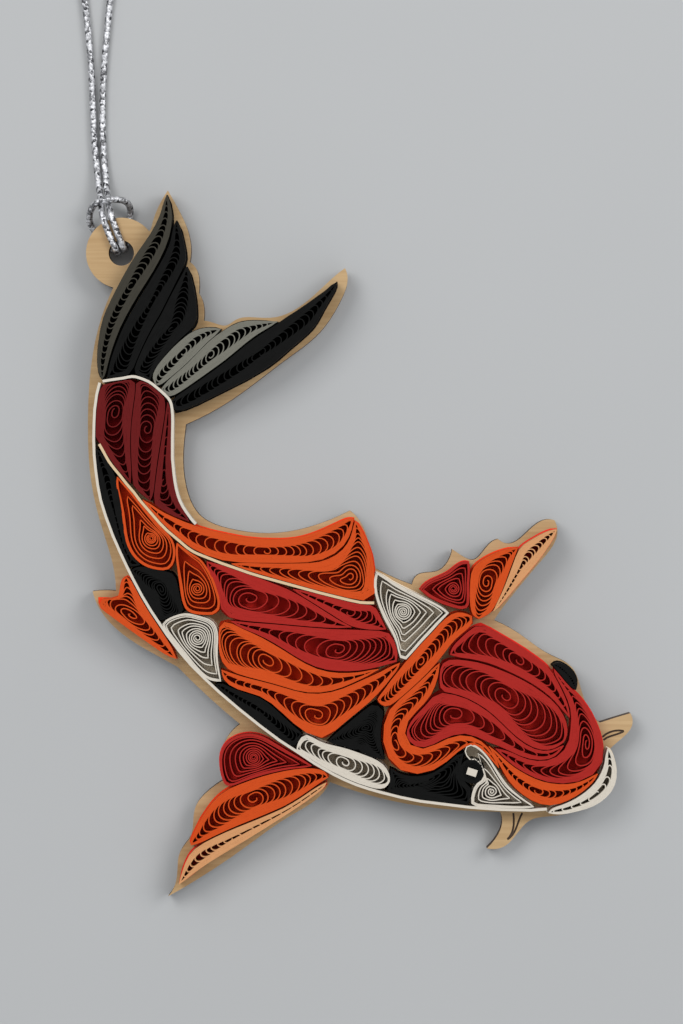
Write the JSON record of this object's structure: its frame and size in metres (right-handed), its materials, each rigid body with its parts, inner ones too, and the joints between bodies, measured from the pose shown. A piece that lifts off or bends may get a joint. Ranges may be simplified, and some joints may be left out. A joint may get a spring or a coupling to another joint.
{
  "type": "quilled paper art",
  "caption": "Quilled paper koi on a laser-cut plywood board with a lug, hung by a looped metallic cord.",
  "frame": {"origin": "middle of the footprint of everything but the cord, on the surface that it lies on", "axes": "+Y towards the lug and the tail, +X to the right seen from the front, +Z out of the coils"},
  "size_m": [0.0868, 0.1801, 0.0072],
  "materials": {
    "birch_plywood": "matt, laser cut, with burnt edges",
    "paper_white": "matt",
    "paper_cream": "matt",
    "paper_black": "satin",
    "paper_grey": "matt",
    "paper_light_grey": "matt",
    "paper_deep_red": "matt",
    "paper_red": "matt",
    "paper_orange": "matt",
    "paper_tan": "matt",
    "metallic_cord": "braided with metallic thread"
  },
  "bodies": {
    "root": {"belly_edging": "paper_white", "black_belly": "paper_black", "black_cheek": "paper_black", "black_saddle": "paper_black", "black_side": "paper_black", "black_wedge": "paper_black", "board": "birch_plywood", "chin_band": "paper_orange", "cord": "metallic_cord", "cord_knot": "metallic_cord", "dorsal_edging": "paper_cream", "dorsal_fin_corner": "paper_orange", "dorsal_fin_long": "paper_orange", "eye_glint": "paper_white", "eye_left": "paper_black", "eye_right": "paper_black", "flank_teardrop_lower": "paper_orange", "flank_teardrop_upper": "paper_orange", "head_border": "paper_orange", "head_red_lower": "paper_red", "head_red_middle": "paper_red", "head_red_outer": "paper_red", "head_red_top": "paper_red", "orange_flank_lower": "paper_orange", "orange_flank_upper": "paper_orange", "pectoral_orange": "paper_orange", "pectoral_red": "paper_red", "pectoral_tan": "paper_tan", "peduncle_left": "paper_deep_red", "peduncle_middle": "paper_deep_red", "peduncle_right": "paper_deep_red", "pelvic_orange": "paper_orange", "pelvic_red": "paper_red", "pelvic_tan": "paper_tan", "red_back_left": "paper_red", "red_back_lower": "paper_red", "red_back_right": "paper_red", "shoulder_strap": "paper_red", "small_fin_coil": "paper_orange", "tail_edging": "paper_white", "tail_inner_black": "paper_black", "tail_left_black": "paper_black", "tail_left_grey": "paper_grey", "tail_right_black": "paper_black", "tail_right_grey": "paper_light_grey", "tail_right_silver": "paper_light_grey", "white_belly": "paper_white", "white_cheek": "paper_white", "white_lip": "paper_white", "white_shoulder": "paper_white", "white_side": "paper_white"}
  },
  "joints": []
}
